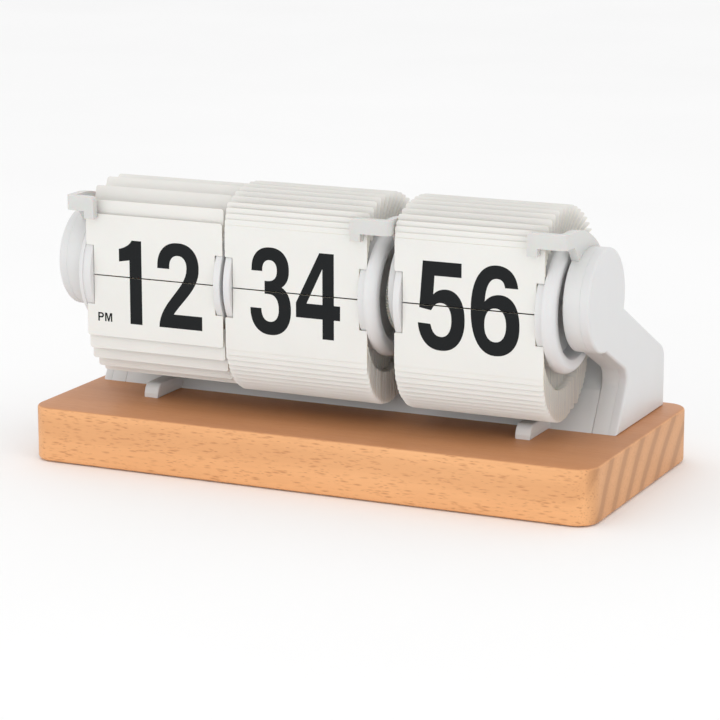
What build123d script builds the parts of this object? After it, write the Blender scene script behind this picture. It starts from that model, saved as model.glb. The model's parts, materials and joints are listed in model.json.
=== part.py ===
from build123d import *
from math import cos, radians, sin
import os

# Split-flap table clock on a beech base: hours, minutes and seconds.
# Frame: millimetres, X along the base (+X right), Y from front to back, Z up.
# The origin is the middle of the underside of the feet. Every drum turns about one
# axle that runs along X.

# ---- overall sizes -------------------------------------------------------------
base_length = 300.0
base_depth = 142.0
base_top = 28.0
corner_radius = 11.0
edge_radius = 1.2
foot_height = 0.5
housing_left = -145.4
housing_right = 138.2
housing_back = 64.0

# ---- the axle and the drums -----------------------------------------------------
axis_y = -22.0
axis_z = 93.5
pin_circle = 27.0
axle_radius = 1.5
tube_wall = 1.2
running_fit = 0.1
hub_radius = 30.2
right_wheel_radius = 32.4
left_wheel_radius = 31.0
wheel_gap = 0.45
wheel_fall = 3.0
wheel_bore = 24.8
wheel_lip = 1.6
hub_web = 3.6
hub_edge = 0.8
rim_wall = 2.4

# ---- the flaps ------------------------------------------------------------------
flap_width = 76.3
flap_reach = 31.0
flap_thickness = 0.2
line_gap = 0.6
notch_reach = 15.0
notch_width = 4.2
side_gap = 0.4
flap_tab_half = 0.45
flap_tab_length = 1.6
groove_depth = 1.9
free_turn = 25.9
rear_lean = 10.8

hour_left = -128.0
minute_left = -50.2
second_left = 40.5
hour_count = 24
minute_count = 60
second_count = 60
hour_phase = 0.0
minute_phase = -0.5
second_phase = 1.0

# ---- the plastic housing --------------------------------------------------------
wall = 2.2
cover_thickness = 4.8
head_y = -21.9
head_z = 97.8
head_radius = 25.2
head_width = 13.3
trough_radius = 55.0
foot_y = -4.5
shoulder_y = 12.1
shoulder_z = 55.7
shoulder_round = 8.0
back_top = 57.9
back_round = 9.0
neck_y = 1.8
neck_z = 89.9

drum_axis = Axis((0, axis_y, axis_z), (1, 0, 0))
drum_plane = Plane(origin=(0, axis_y, axis_z), x_dir=(1, 0, 0), z_dir=(0, -1, 0))
hour_right = hour_left + flap_width
minute_right = minute_left + flap_width
second_right = second_left + flap_width
left_head_face = housing_left + head_width
right_head_face = housing_right - head_width
left_seam = housing_left + cover_thickness
right_seam = housing_right - cover_thickness

os.makedirs("parts", exist_ok=True)


def save(part, name):
    """Label a finished piece and write its STEP file."""
    part.label = name
    export_step(part, f"parts/{name}.step")


def across(x, y=0.0, z=0.0):
    """Plane square to the axle at x, with sketch axes along Y and Z from (y, z)."""
    return Plane(origin=(x, y, z), x_dir=(0, 1, 0), z_dir=(1, 0, 0))


# ---- beech base -----------------------------------------------------------------
pad_radius = 7.0
pad_pocket = 1.5
pad_inset = 16.0
screw_radius = 1.6
screw_head_radius = 3.6
screw_head_depth = 3.0
screw_sink = 2.0
boss_radius = 4.5
boss_height = 12.0
boss_spread = 230.0
boss_rows = 26.0
boss_y = 38.0
housing_middle = (housing_left + housing_right) / 2

with BuildPart() as wood_base:
    with BuildSketch(Plane.XY.offset(foot_height)):
        RectangleRounded(base_length, base_depth, corner_radius)
    extrude(amount=base_top - foot_height)
    fillet(wood_base.faces().sort_by(Axis.Z)[-1].edges(), radius=edge_radius)
    fillet(wood_base.faces().sort_by(Axis.Z)[0].edges(), radius=edge_radius)
    with BuildSketch(Plane.XY.offset(foot_height)):
        with GridLocations(base_length - 2 * pad_inset, base_depth - 2 * pad_inset, 2, 2):
            Circle(pad_radius)
    extrude(amount=pad_pocket, mode=Mode.SUBTRACT)
    with BuildSketch(Plane.XY.offset(foot_height)):
        with Locations((housing_middle, boss_y)):
            with GridLocations(boss_spread, boss_rows, 2, 2):
                Circle(screw_head_radius + side_gap)
    extrude(amount=screw_head_depth + screw_sink, mode=Mode.SUBTRACT)
    with BuildSketch(Plane.XY.offset(foot_height)):
        with Locations((housing_middle, boss_y)):
            with GridLocations(boss_spread, boss_rows, 2, 2):
                Circle(screw_radius + running_fit)
    extrude(amount=base_top - foot_height, mode=Mode.SUBTRACT)
save(wood_base.part, "wood_base")

with BuildPart() as rubber_feet:
    with BuildSketch(Plane.XY):
        with GridLocations(base_length - 2 * pad_inset, base_depth - 2 * pad_inset, 2, 2):
            Circle(pad_radius - 0.2)
    extrude(amount=foot_height + pad_pocket)
save(rubber_feet.part, "rubber_feet")

with BuildPart() as base_screws:
    with BuildSketch(Plane.XY.offset(foot_height + screw_sink)):
        with Locations((housing_middle, boss_y)):
            with GridLocations(boss_spread, boss_rows, 2, 2):
                Circle(screw_head_radius)
    extrude(amount=screw_head_depth)
    with BuildSketch(Plane.XY.offset(foot_height + screw_sink + screw_head_depth)):
        with Locations((housing_middle, boss_y)):
            with GridLocations(boss_spread, boss_rows, 2, 2):
                Circle(screw_radius)
    extrude(amount=base_top - foot_height - screw_sink - screw_head_depth + boss_height - screw_sink)
save(base_screws.part, "base_screws")


# ---- housing ----------------------------------------------------------------------
def limb_outline():
    """Side view of an end arm: foot, sloping limb and round head."""
    with BuildLine() as limb_edges:
        Polyline(
            (head_y, head_z - head_radius),
            (shoulder_y, shoulder_z),
            (foot_y, base_top),
            (housing_back, base_top),
            (housing_back, back_top),
            (neck_y, neck_z),
            (head_y, head_z),
            close=True,
        )
    make_face(limb_edges.edges())
    corners = vertices().sort_by_distance((shoulder_y, shoulder_z))
    fillet(corners[0], radius=shoulder_round)
    corners = vertices().sort_by_distance((housing_back, back_top))
    fillet(corners[0], radius=back_round)
    with Locations((head_y, head_z)):
        Circle(head_radius)


def body_outline():
    """Side view of the body between the arms, scooped out to clear the flaps."""
    with BuildLine() as body_edges:
        Polyline(
            (foot_y, base_top),
            (shoulder_y, shoulder_z),
            (neck_y, neck_z),
            (housing_back, back_top),
            (housing_back, base_top),
            close=True,
        )
    make_face(body_edges.edges())
    corners = vertices().sort_by_distance((housing_back, back_top))
    fillet(corners[0], radius=back_round)
    with Locations((axis_y, axis_z)):
        Circle(trough_radius, mode=Mode.SUBTRACT)


door_width = 112.0
door_height = 19.0
door_low = 31.0
door_x = -2.0
door_gap = 0.3
door_pin = 0.8
tray_depth = 18.0
window_y = 35.0
window_z = 40.0
tube_clearance = 6.0

with BuildPart() as housing:
    with BuildSketch(across(left_head_face)):
        body_outline()
    extrude(amount=right_head_face - left_head_face)
    with BuildSketch(across(left_head_face)):
        body_outline()
        offset(amount=-wall, kind=Kind.INTERSECTION, mode=Mode.REPLACE)
        with Locations(((shoulder_y + housing_back) / 2, base_top + wall)):
            Rectangle(housing_back - shoulder_y - 2 * wall, 3 * wall)
    extrude(amount=right_head_face - left_head_face, mode=Mode.SUBTRACT)
    for seam, inner in ((left_seam, left_head_face), (right_head_face, right_seam)):
        with BuildSketch(across(seam)):
            limb_outline()
        extrude(amount=inner - seam)
    for start, end in ((left_seam, left_head_face - wall), (right_head_face + wall, right_seam)):
        with BuildSketch(across(start)):
            limb_outline()
            offset(amount=-wall, kind=Kind.INTERSECTION, mode=Mode.REPLACE)
        extrude(amount=end - start, mode=Mode.SUBTRACT)
    with BuildSketch(across(left_seam)):
        with Locations((axis_y, axis_z)):
            Circle(tube_clearance)
        with Locations((window_y, window_z)):
            RectangleRounded(18.0, 12.0, 2.0)
    extrude(amount=right_seam - left_seam, mode=Mode.SUBTRACT)
    with BuildSketch(Plane.XY.offset(base_top)):
        with Locations((housing_middle, boss_y)):
            with GridLocations(boss_spread, boss_rows, 2, 2):
                Circle(boss_radius)
        with Locations((housing_middle, housing_back / 2)):
            with GridLocations(boss_spread, 0, 2, 1):
                Rectangle(wall, housing_back - 2 * wall)
    extrude(amount=boss_height)
    with BuildSketch(Plane.XY.offset(base_top)):
        with Locations((housing_middle, boss_y)):
            with GridLocations(boss_spread, boss_rows, 2, 2):
                Circle(screw_radius)
    extrude(amount=boss_height - screw_sink, mode=Mode.SUBTRACT)
    with BuildSketch(Plane.XZ.offset(-housing_back)):
        with Locations((door_x, door_low + door_height / 2)):
            Rectangle(door_width, door_height)
    extrude(amount=wall, mode=Mode.SUBTRACT)
    with BuildSketch(across(door_x - door_width / 2 - 2.0)):
        with Locations((housing_back - wall / 2, door_low + door_gap + wall / 2)):
            Circle(door_pin + running_fit)
    extrude(amount=door_width + 4.0, mode=Mode.SUBTRACT)
save(housing.part, "housing")

# ---- side covers: the outer skin of each arm, with a socket for the axle ---------
socket_radius = 3.6
socket_reach = 4.2
cover_edge = 0.9
for name, seam, face, side in (
    ("left_side_cover", left_seam, housing_left, -1),
    ("right_side_cover", right_seam, housing_right, 1),
):
    with BuildPart() as cover:
        with BuildSketch(across(min(seam, face))):
            limb_outline()
        extrude(amount=cover_thickness)
        fillet(cover.faces().sort_by(Axis.X)[-1 if side > 0 else 0].outer_wire().edges(), radius=cover_edge)
        with BuildSketch(across(min(seam, face - side * wall))):
            limb_outline()
            offset(amount=-wall, kind=Kind.INTERSECTION, mode=Mode.REPLACE)
        extrude(amount=cover_thickness - wall, mode=Mode.SUBTRACT)
        with BuildSketch(across(face - side * wall, axis_y, axis_z)):
            Circle(socket_radius)
            Circle(axle_radius, mode=Mode.SUBTRACT)
        extrude(amount=-side * socket_reach)
    save(cover.part, name)

# ---- front lugs: two props that lie on the wood and steady the housing ------------
lug_width = 8.0
lug_height = 7.2
lug_front = -30.0
lug_nose = 3.4
with BuildPart() as front_lugs:
    for x in (-103.1, 99.3):
        with BuildSketch(across(x - lug_width / 2)):
            with BuildLine():
                Line((foot_y, base_top), (lug_front, base_top))
                Line((lug_front, base_top), (lug_front, base_top + lug_nose))
                ThreePointArc(
                    (lug_front, base_top + lug_nose),
                    (lug_front + 1.9, base_top + lug_height - 1.1),
                    (lug_front + 6.0, base_top + lug_height),
                )
                Line((lug_front + 6.0, base_top + lug_height), (shoulder_y, base_top + lug_height))
                Line((shoulder_y, base_top + lug_height), (shoulder_y, base_top))
                Line((shoulder_y, base_top), (foot_y, base_top))
            make_face()
            with BuildLine():
                Polyline(
                    (foot_y, base_top),
                    (shoulder_y, shoulder_z),
                    (housing_back, shoulder_z),
                    (housing_back, base_top),
                    close=True,
                )
            make_face(mode=Mode.SUBTRACT)
        extrude(amount=lug_width)
save(front_lugs.part, "front_lugs")

# ---- middle arm: the bearing between the minutes and the seconds --------------------
arm_left = 36.0
arm_right = 39.4
second_tube_radius = axle_radius + running_fit + tube_wall
with BuildSketch() as body_side:
    body_outline()
with BuildPart() as middle_arm:
    with BuildSketch(across(arm_left)):
        limb_outline()
        add(body_side.sketch_local, mode=Mode.SUBTRACT)
        with Locations((axis_y, axis_z)):
            Circle(second_tube_radius + running_fit, mode=Mode.SUBTRACT)
    extrude(amount=arm_right - arm_left)
save(middle_arm.part, "middle_arm")

# ---- hooks: each holds the top edge of its front flap until the drum draws it clear ----
hook_front = -53.4
hook_back = -49.5
hook_low = 126.0
hook_high = 133.4
lip_low = 122.2
lip_width = 5.3
hook_round = 2.2
hook_bend = 3.2
fin_start = -42.0
fin_under = -43.0
fin_crest = (-19.2, 127.9)
fin_tail = (-3.0, 114.0)
fin_root = (-36.0, 118.0)
fin_middle = 110.0
head_fin_width = 4.0
for name, fin, fin_width, lip in (
    ("hour_hook", -137.0, head_fin_width, hour_left + 1.6),
    ("minute_hook", arm_left, arm_right - arm_left, minute_right - 7.1),
    ("second_hook", right_head_face + 0.3, head_fin_width, second_right - 7.6),
):
    bar_left = min(fin, lip)
    bar_right = max(fin + fin_width, lip + lip_width)
    bend_x = bar_left if fin < lip else bar_right
    with BuildPart() as hook:
        with BuildSketch(across(fin)):
            with BuildLine():
                Polyline(
                    (fin_under, hook_low),
                    (hook_front, hook_low),
                    (hook_front, hook_high),
                    (fin_start, hook_high),
                )
                Spline((fin_start, hook_high), fin_crest, fin_tail, tangents=((1, 0), (0.6, -1)))
                Polyline(fin_tail, (axis_y, fin_middle), fin_root, (fin_under, hook_low))
            make_face()
            with Locations((head_y, head_z)):
                Circle(head_radius, mode=Mode.SUBTRACT)
        extrude(amount=fin_width)
        with BuildSketch(Plane.XZ.offset(-hook_back)):
            with BuildLine():
                Polyline(
                    (bar_left, hook_low),
                    (bar_left, hook_high),
                    (bar_right, hook_high),
                    (bar_right, hook_low),
                    close=True,
                )
            make_face()
            fillet(vertices().group_by(Axis.Y)[-1], radius=hook_round)
            with Locations((lip + lip_width / 2, (lip_low + hook_low + hook_round) / 2)):
                Rectangle(lip_width, hook_low + hook_round - lip_low)
        extrude(amount=hook_back - hook_front)
        bend = hook.edges().filter_by(Axis.Z).sort_by_distance((bend_x, hook_front, hook_low))[0]
        fillet(bend, radius=hook_bend)
    save(hook.part, name)

# ---- axle -----------------------------------------------------------------------------
axle_left = housing_left + 3.2
axle_right = housing_right - 3.2
with BuildPart() as axle:
    with BuildSketch(across(axle_left, axis_y, axis_z)):
        Circle(axle_radius)
    extrude(amount=axle_right - axle_left)
save(axle.part, "axle")

# ---- gears ------------------------------------------------------------------------------
tooth_addendum = 0.8
tooth_dedendum = 1.15
gear_thickness = 1.3


def gear_face(teeth, size, bore, start):
    """Gear outline with straight-sided teeth; the first tooth points at start degrees."""
    pitch_radius = teeth * size / 2
    outer = pitch_radius + tooth_addendum * size
    root = pitch_radius - tooth_dedendum * size
    step = 360.0 / teeth
    corners = []
    for tooth in range(teeth):
        middle = start + tooth * step
        for reach, half in ((root, -0.28), (outer, -0.11), (outer, 0.11), (root, 0.28)):
            angle = radians(middle + half * step)
            corners.append((reach * cos(angle), reach * sin(angle)))
    with BuildLine() as teeth_edges:
        Polyline(*corners, close=True)
    make_face(teeth_edges.edges())
    Circle(bore, mode=Mode.SUBTRACT)


def gear(x, teeth, size, bore, start, y=axis_y, z=axis_z):
    """Extrude one gear to the right of x about the point y, z."""
    with BuildSketch(across(x, y, z)) as face:
        gear_face(teeth, size, bore, start)
    extrude(face.sketch, amount=gear_thickness)


def toward(from_y, from_z, to_y, to_z):
    """Direction in degrees from one centre to another, seen from the right."""
    return (Vector(to_y - from_y, to_z - from_z).get_angle(Vector(1, 0))) * (1 if to_z >= from_z else -1)


tube_bore = axle_radius + running_fit
inner_tube_radius = tube_bore + tube_wall
hour_bore = inner_tube_radius + running_fit
hour_tube_radius = hour_bore + 1.6
mesh_slack = 0.12

# Motor pinion to the seconds drum, 6 to 1, inside the right head.
motor_distance = 15.0
motor_teeth = 10
second_teeth = 60
motor_size = 2 * motor_distance / (motor_teeth + second_teeth)
motor_y = axis_y
motor_z = axis_z + motor_distance + mesh_slack
motor_gear_x = right_head_face + wall + 0.8

# Seconds to minutes, 60 to 1 in two stages, between the two drums.
carry_distance = 21.0
carry_pinion = 12
carry_wheel = 72
carry_pinion_2 = 8
carry_wheel_2 = 80
carry_size = 2 * carry_distance / (carry_pinion + carry_wheel)
carry_size_2 = 2 * carry_distance / (carry_pinion_2 + carry_wheel_2)
carry_y = axis_y + (carry_distance + mesh_slack) * cos(radians(10))
carry_z = axis_z - (carry_distance + mesh_slack) * sin(radians(10))
minute_gear_x = 32.5
carry_gear_x = 34.1

# Minutes to hours, 24 to 1 in two stages, inside the left head.
day_distance = 15.0
day_pinion = 12
day_wheel = 36
day_pinion_2 = 9
day_wheel_2 = 72
day_size = 2 * day_distance / (day_pinion + day_wheel)
day_size_2 = 2 * day_distance / (day_pinion_2 + day_wheel_2)
day_y = axis_y
day_z = axis_z + day_distance + mesh_slack
hour_gear_x = left_head_face - wall - 0.8 - gear_thickness
day_gear_x = hour_gear_x - 0.3 - gear_thickness


def turned(corners):
    """Revolve a closed outline of (x, radius) corners about the drum axle."""
    with BuildSketch(drum_plane) as half:
        with BuildLine():
            Polyline(*corners, close=True)
        make_face()
    revolve(half.sketch, axis=drum_axis)


def save_gear(name, x, teeth, size, bore, start, y=axis_y, z=axis_z):
    """Build one gear and write it under its own name."""
    with BuildPart() as wheel:
        gear(x, teeth, size, bore, start, y, z)
    save(wheel.part, name)


def save_tube(name, start, end, bore, outer):
    """Build one plain tube on the axle from start to end."""
    with BuildPart() as tube:
        with BuildSketch(across(start, axis_y, axis_z)):
            Circle(outer)
            Circle(bore, mode=Mode.SUBTRACT)
        extrude(amount=end - start)
    save(tube.part, name)


def save_hub(name, inner_face, side, bore, outer_face=0.0, wheel_radius=0.0):
    """Build a drum end: a web with a groove for the flap tabs, and a hand wheel if given a radius.

    The inner face looks at the flaps; side is 1 for a right end and -1 for a left end.
    """
    web_face = inner_face + side * hub_web
    groove = inner_face + side * groove_depth
    groove_low = pin_circle - flap_tab_half - 0.35
    groove_high = pin_circle + flap_tab_half + 0.35
    with BuildPart() as hub:
        turned(
            (
                (inner_face, bore),
                (inner_face, groove_low),
                (groove, groove_low),
                (groove, groove_high),
                (inner_face, groove_high),
                (inner_face, hub_radius - hub_edge / 2),
                (inner_face + side * hub_edge / 2, hub_radius),
                (web_face - side * hub_edge / 2, hub_radius),
                (web_face, hub_radius - hub_edge / 2),
                (web_face, bore),
            )
        )
        if wheel_radius:
            neck_face = web_face - side * hub_edge
            wheel_face = inner_face + side * (hub_step + wheel_gap)
            wheel_width = outer_face - wheel_face
            with BuildSketch(drum_plane):
                with BuildLine():
                    Polyline(
                        (neck_face, hub_radius - rim_wall),
                        (neck_face, hub_radius),
                        (wheel_face, hub_radius),
                        (wheel_face, wheel_radius - 0.05 * wheel_fall),
                    )
                    ThreePointArc(
                        (wheel_face, wheel_radius - 0.05 * wheel_fall),
                        (wheel_face + 0.6 * wheel_width, wheel_radius - 0.19 * wheel_fall),
                        (outer_face, wheel_radius - wheel_fall),
                    )
                    Polyline(
                        (outer_face, wheel_radius - wheel_fall),
                        (outer_face, wheel_bore),
                        (outer_face - side * wheel_lip, wheel_bore),
                        (neck_face, hub_radius - rim_wall),
                    )
                make_face()
            revolve(axis=drum_axis)
    save(hub.part, name)


# Minutes tube and seconds tube turn on the axle; the hours tube turns on the minutes tube.
minute_tube_left = day_gear_x
minute_tube_right = minute_gear_x + gear_thickness
second_tube_left = carry_gear_x
second_tube_right = motor_gear_x + gear_thickness
hub_step = notch_width - side_gap
save_tube("minute_tube", minute_tube_left, minute_tube_right, tube_bore, inner_tube_radius)
save_tube("second_tube", second_tube_left + gear_thickness, second_tube_right, tube_bore, inner_tube_radius)
save_tube("hour_tube", hour_gear_x, hour_right - side_gap, hour_bore, hour_tube_radius)

hour_end = left_head_face + 0.6
minute_end = minute_gear_x - 0.5
second_end = second_right + 6.2
save_hub("hour_left_hub", hour_left + hub_step, -1, hour_tube_radius, hour_end, left_wheel_radius)
save_hub("hour_right_hub", hour_right - hub_step, 1, hour_tube_radius)
save_hub("minute_left_hub", minute_left + hub_step, -1, inner_tube_radius)
save_hub("minute_right_hub", minute_right - hub_step, 1, inner_tube_radius, minute_end, right_wheel_radius)
save_hub("second_left_hub", second_left + hub_step, -1, inner_tube_radius)
save_hub("second_right_hub", second_right - hub_step, 1, inner_tube_radius, second_end, right_wheel_radius)

motor_angle = toward(motor_y, motor_z, axis_y, axis_z)
save_gear("motor_pinion", motor_gear_x, motor_teeth, motor_size, 0.6, motor_angle, motor_y, motor_z)
save_gear(
    "second_drive_gear",
    motor_gear_x,
    second_teeth,
    motor_size,
    inner_tube_radius,
    motor_angle + 180 + 180 / second_teeth,
)

carry_angle = toward(axis_y, axis_z, carry_y, carry_z)
save_gear("second_carry_pinion", carry_gear_x, carry_pinion, carry_size, tube_bore, carry_angle)
with BuildPart() as carry_gear:
    gear(carry_gear_x, carry_wheel, carry_size, 1.0, carry_angle + 180 + 180 / carry_wheel, carry_y, carry_z)
    gear(minute_gear_x, carry_pinion_2, carry_size_2, 1.0, carry_angle + 180, carry_y, carry_z)
    with BuildSketch(across(minute_gear_x + gear_thickness, carry_y, carry_z)):
        Circle(1.4)
        Circle(1.0, mode=Mode.SUBTRACT)
    extrude(amount=carry_gear_x - minute_gear_x - gear_thickness)
save(carry_gear.part, "minute_carry_gear")
save_gear(
    "minute_gear",
    minute_gear_x,
    carry_wheel_2,
    carry_size_2,
    inner_tube_radius,
    carry_angle + 180 / carry_wheel_2,
)

day_angle = toward(axis_y, axis_z, day_y, day_z)
save_gear("minute_carry_pinion", day_gear_x, day_pinion, day_size, inner_tube_radius, day_angle)
with BuildPart() as day_gear:
    gear(day_gear_x, day_wheel, day_size, 1.0, day_angle + 180 + 180 / day_wheel, day_y, day_z)
    gear(hour_gear_x, day_pinion_2, day_size_2, 1.0, day_angle + 180, day_y, day_z)
    with BuildSketch(across(day_gear_x + gear_thickness, day_y, day_z)):
        Circle(1.4)
        Circle(1.0, mode=Mode.SUBTRACT)
    extrude(amount=hour_gear_x - day_gear_x - gear_thickness)
save(day_gear.part, "hour_carry_gear")
save_gear("hour_gear", hour_gear_x, day_wheel_2, day_size_2, hour_tube_radius, day_angle + 180 / day_wheel_2)

stud_radius = 0.9
with BuildPart() as gear_studs:
    with BuildSketch(across(minute_gear_x, carry_y, carry_z)):
        Circle(stud_radius)
    extrude(amount=arm_left - minute_gear_x)
    with BuildSketch(across(housing_left + wall, day_y, day_z)):
        Circle(stud_radius)
    extrude(amount=hour_gear_x + gear_thickness - housing_left - wall)
save(gear_studs.part, "gear_studs")

# ---- motor ------------------------------------------------------------------------------
motor_radius = 7.0
motor_left = motor_gear_x + gear_thickness + 0.4
with BuildPart() as motor:
    with BuildSketch(across(motor_left, motor_y, motor_z)):
        Circle(motor_radius)
    extrude(amount=housing_right - wall - motor_left)
    fillet(motor.faces().sort_by(Axis.X)[0].edges(), radius=0.6)
    with BuildSketch(across(motor_left, motor_y, motor_z)):
        Circle(0.8)
    extrude(amount=3.0, mode=Mode.SUBTRACT)
save(motor.part, "motor")
with BuildPart() as motor_shaft:
    with BuildSketch(across(motor_gear_x, motor_y, motor_z)):
        Circle(0.6)
    extrude(amount=motor_left + 2.5 - motor_gear_x)
save(motor_shaft.part, "motor_shaft")

# ---- battery compartment, its door, contacts and the circuit board --------------------------
tray_wall = 1.6
inner_back = housing_back - wall
tray_front = inner_back - tray_depth
with BuildPart() as battery_tray:
    with BuildSketch(Plane.XZ.offset(-inner_back)):
        with Locations((door_x, door_low + door_height / 2)):
            Rectangle(door_width + 2 * tray_wall, door_height + 2 * tray_wall)
    extrude(amount=tray_depth)
    with BuildSketch(Plane.XZ.offset(-inner_back)):
        with Locations((door_x, door_low + door_height / 2)):
            Rectangle(door_width, door_height)
    extrude(amount=tray_depth - tray_wall, mode=Mode.SUBTRACT)
save(battery_tray.part, "battery_tray")

contact_thickness = 0.4
contact_size = 12.0
cell_y = inner_back - tray_depth / 2 + 0.6
cell_z = door_low + door_height / 2
tray_left = door_x - door_width / 2
tray_right = door_x + door_width / 2
with BuildPart() as battery_contacts:
    for x in (tray_left, tray_right - contact_thickness):
        with BuildSketch(across(x)):
            with Locations((cell_y, cell_z)):
                RectangleRounded(contact_size, contact_size, 1.0)
        extrude(amount=contact_thickness)
save(battery_contacts.part, "battery_contacts")

spring_wire = 0.35
with BuildPart() as battery_spring:
    with BuildLine() as coil:
        Helix(
            pitch=1.9,
            height=5.7,
            radius=3.2,
            center=(tray_left + contact_thickness + spring_wire, cell_y, cell_z),
            direction=(1, 0, 0),
        )
    with BuildSketch(Plane(origin=coil.line @ 0, z_dir=coil.line % 0)):
        Circle(spring_wire)
    sweep()
save(battery_spring.part, "battery_spring")

hinge_y = housing_back - wall / 2
hinge_z = door_low + door_gap + wall / 2
with BuildPart() as battery_door:
    with BuildSketch(across(tray_left + door_gap)):
        with Locations((hinge_y, (hinge_z + door_low + door_height - door_gap) / 2)):
            Rectangle(wall, door_low + door_height - door_gap - hinge_z)
        with Locations((hinge_y, hinge_z)):
            Circle(wall / 2)
    extrude(amount=door_width - 2 * door_gap)
    with BuildSketch(across(tray_left - 1.6)):
        with Locations((hinge_y, hinge_z)):
            Circle(door_pin)
    extrude(amount=door_width + 3.2)
save(battery_door.part, "battery_door")

board_left = tray_right + tray_wall + 3.0
board_width = 40.0
with BuildPart() as circuit_board:
    with BuildSketch(Plane.XZ.offset(-inner_back)):
        with Locations((board_left + board_width / 2, cell_z)):
            RectangleRounded(board_width, door_height, 1.0)
    extrude(amount=1.6)
    with BuildSketch(Plane.XZ.offset(1.6 - inner_back)):
        with Locations((board_left + board_width / 3, cell_z)):
            Rectangle(8.0, 8.0)
        with Locations((board_left + 3 * board_width / 4, cell_z + 3.0)):
            Circle(2.5)
    extrude(amount=3.0)
save(circuit_board.part, "circuit_board")


# ---- flaps ---------------------------------------------------------------------------------
def flap_lean(turn):
    """Lean of a flap back from upright, in degrees, when its pin is turn past the drum's front.

    The front ones stand upright, those on top lie back one on another, those behind are
    carried up at a constant angle to the drum, and the lower ones hang down.
    """
    lean = max(0.0, turn - free_turn)
    from_bottom = 270.0 - turn
    drag = rear_lean * min(max((from_bottom - 20.0) / 13.0, 0.0), 1.0)
    return min(lean, 180.0 - drag)


def flap_plane(turn):
    """Plane of the flap whose pin is turn degrees past the front, with its origin on the pin."""
    lean = radians(flap_lean(turn))
    pin_y = axis_y - pin_circle * cos(radians(turn))
    pin_z = axis_z + pin_circle * sin(radians(turn))
    return Plane(origin=(0, pin_y, pin_z), x_dir=(1, 0, 0), z_dir=(0, -cos(lean), sin(lean)))


def save_flaps(name, left, count, phase, first, last):
    """Build the flaps from first to last as loose notched leaves, each with two hinge tabs."""
    planes = [flap_plane(phase + (number + 0.5) * 360.0 / count) for number in range(first, last + 1)]
    half_step = pin_circle * sin(radians(180.0 / count))
    tip = flap_reach - half_step
    notch = notch_reach - half_step
    tail = half_step - line_gap / 2
    right = left + flap_width
    with BuildPart() as flaps:
        with BuildSketch(*planes):
            with BuildLine():
                Polyline(
                    (left + notch_width, -tail),
                    (right - notch_width, -tail),
                    (right - notch_width, notch),
                    (right, notch),
                    (right, tip),
                    (left, tip),
                    (left, notch),
                    (left + notch_width, notch),
                    close=True,
                )
            make_face()
            with Locations((left + flap_width / 2, 0)):
                Rectangle(flap_width - 2 * notch_width + 2 * flap_tab_length, 2 * flap_tab_half)
        extrude(amount=flap_thickness / 2, both=True)
    save(flaps.part, name)


for unit, left, count, phase in (
    ("hour", hour_left, hour_count, hour_phase),
    ("minute", minute_left, minute_count, minute_phase),
    ("second", second_left, second_count, second_phase),
):
    fan_end = round(count * 0.42)
    rear_end = round(count * 0.70)
    save_flaps(f"{unit}_front_upper_flap", left, count, phase, 0, 0)
    save_flaps(f"{unit}_flap_fan", left, count, phase, 1, fan_end)
    save_flaps(f"{unit}_rear_flaps", left, count, phase, fan_end + 1, rear_end)
    save_flaps(f"{unit}_hanging_flaps", left, count, phase, rear_end + 1, count - 2)
    save_flaps(f"{unit}_front_lower_flap", left, count, phase, count - 1, count - 1)
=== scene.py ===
import json
import math

import bmesh
import bpy
import numpy as np
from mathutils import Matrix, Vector
from mathutils.geometry import tessellate_polygon

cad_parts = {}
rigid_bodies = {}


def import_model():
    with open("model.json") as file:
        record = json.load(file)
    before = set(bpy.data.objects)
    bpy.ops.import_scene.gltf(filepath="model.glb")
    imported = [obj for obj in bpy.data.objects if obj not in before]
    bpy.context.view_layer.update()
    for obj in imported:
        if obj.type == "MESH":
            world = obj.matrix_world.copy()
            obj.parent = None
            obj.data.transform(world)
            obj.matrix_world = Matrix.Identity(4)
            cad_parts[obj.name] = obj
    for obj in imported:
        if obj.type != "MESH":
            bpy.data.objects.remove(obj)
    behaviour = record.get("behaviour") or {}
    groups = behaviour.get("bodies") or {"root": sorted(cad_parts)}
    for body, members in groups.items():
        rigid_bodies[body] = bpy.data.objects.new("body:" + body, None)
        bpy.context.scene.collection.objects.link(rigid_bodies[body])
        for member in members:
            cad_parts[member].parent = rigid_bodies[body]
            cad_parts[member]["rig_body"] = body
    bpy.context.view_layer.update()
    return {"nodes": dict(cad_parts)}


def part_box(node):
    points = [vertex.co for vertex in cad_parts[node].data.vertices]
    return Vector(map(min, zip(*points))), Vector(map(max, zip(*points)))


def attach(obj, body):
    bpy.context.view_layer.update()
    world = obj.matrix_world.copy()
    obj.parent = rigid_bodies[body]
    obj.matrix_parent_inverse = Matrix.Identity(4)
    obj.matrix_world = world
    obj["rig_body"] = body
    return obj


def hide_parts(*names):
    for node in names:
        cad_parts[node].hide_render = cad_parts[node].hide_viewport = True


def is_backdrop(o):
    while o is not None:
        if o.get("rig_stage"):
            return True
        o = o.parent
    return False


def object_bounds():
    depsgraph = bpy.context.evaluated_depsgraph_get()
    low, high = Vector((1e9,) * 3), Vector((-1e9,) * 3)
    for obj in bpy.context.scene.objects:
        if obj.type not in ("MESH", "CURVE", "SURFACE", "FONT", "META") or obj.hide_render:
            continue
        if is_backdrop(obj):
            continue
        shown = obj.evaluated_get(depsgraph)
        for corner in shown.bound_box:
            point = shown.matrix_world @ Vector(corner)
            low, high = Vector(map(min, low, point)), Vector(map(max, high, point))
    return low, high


# Split-flap table clock on a beech base: hours, minutes and seconds.
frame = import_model()
MM = 0.001

# ---- Beech base --------------------------------------------------------------------------
# A single plank of steamed beech, planed, with its edges eased and a thin coat of oil.
# The grain runs along the clock; short dark flecks show on the front, rings on the ends.


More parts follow.
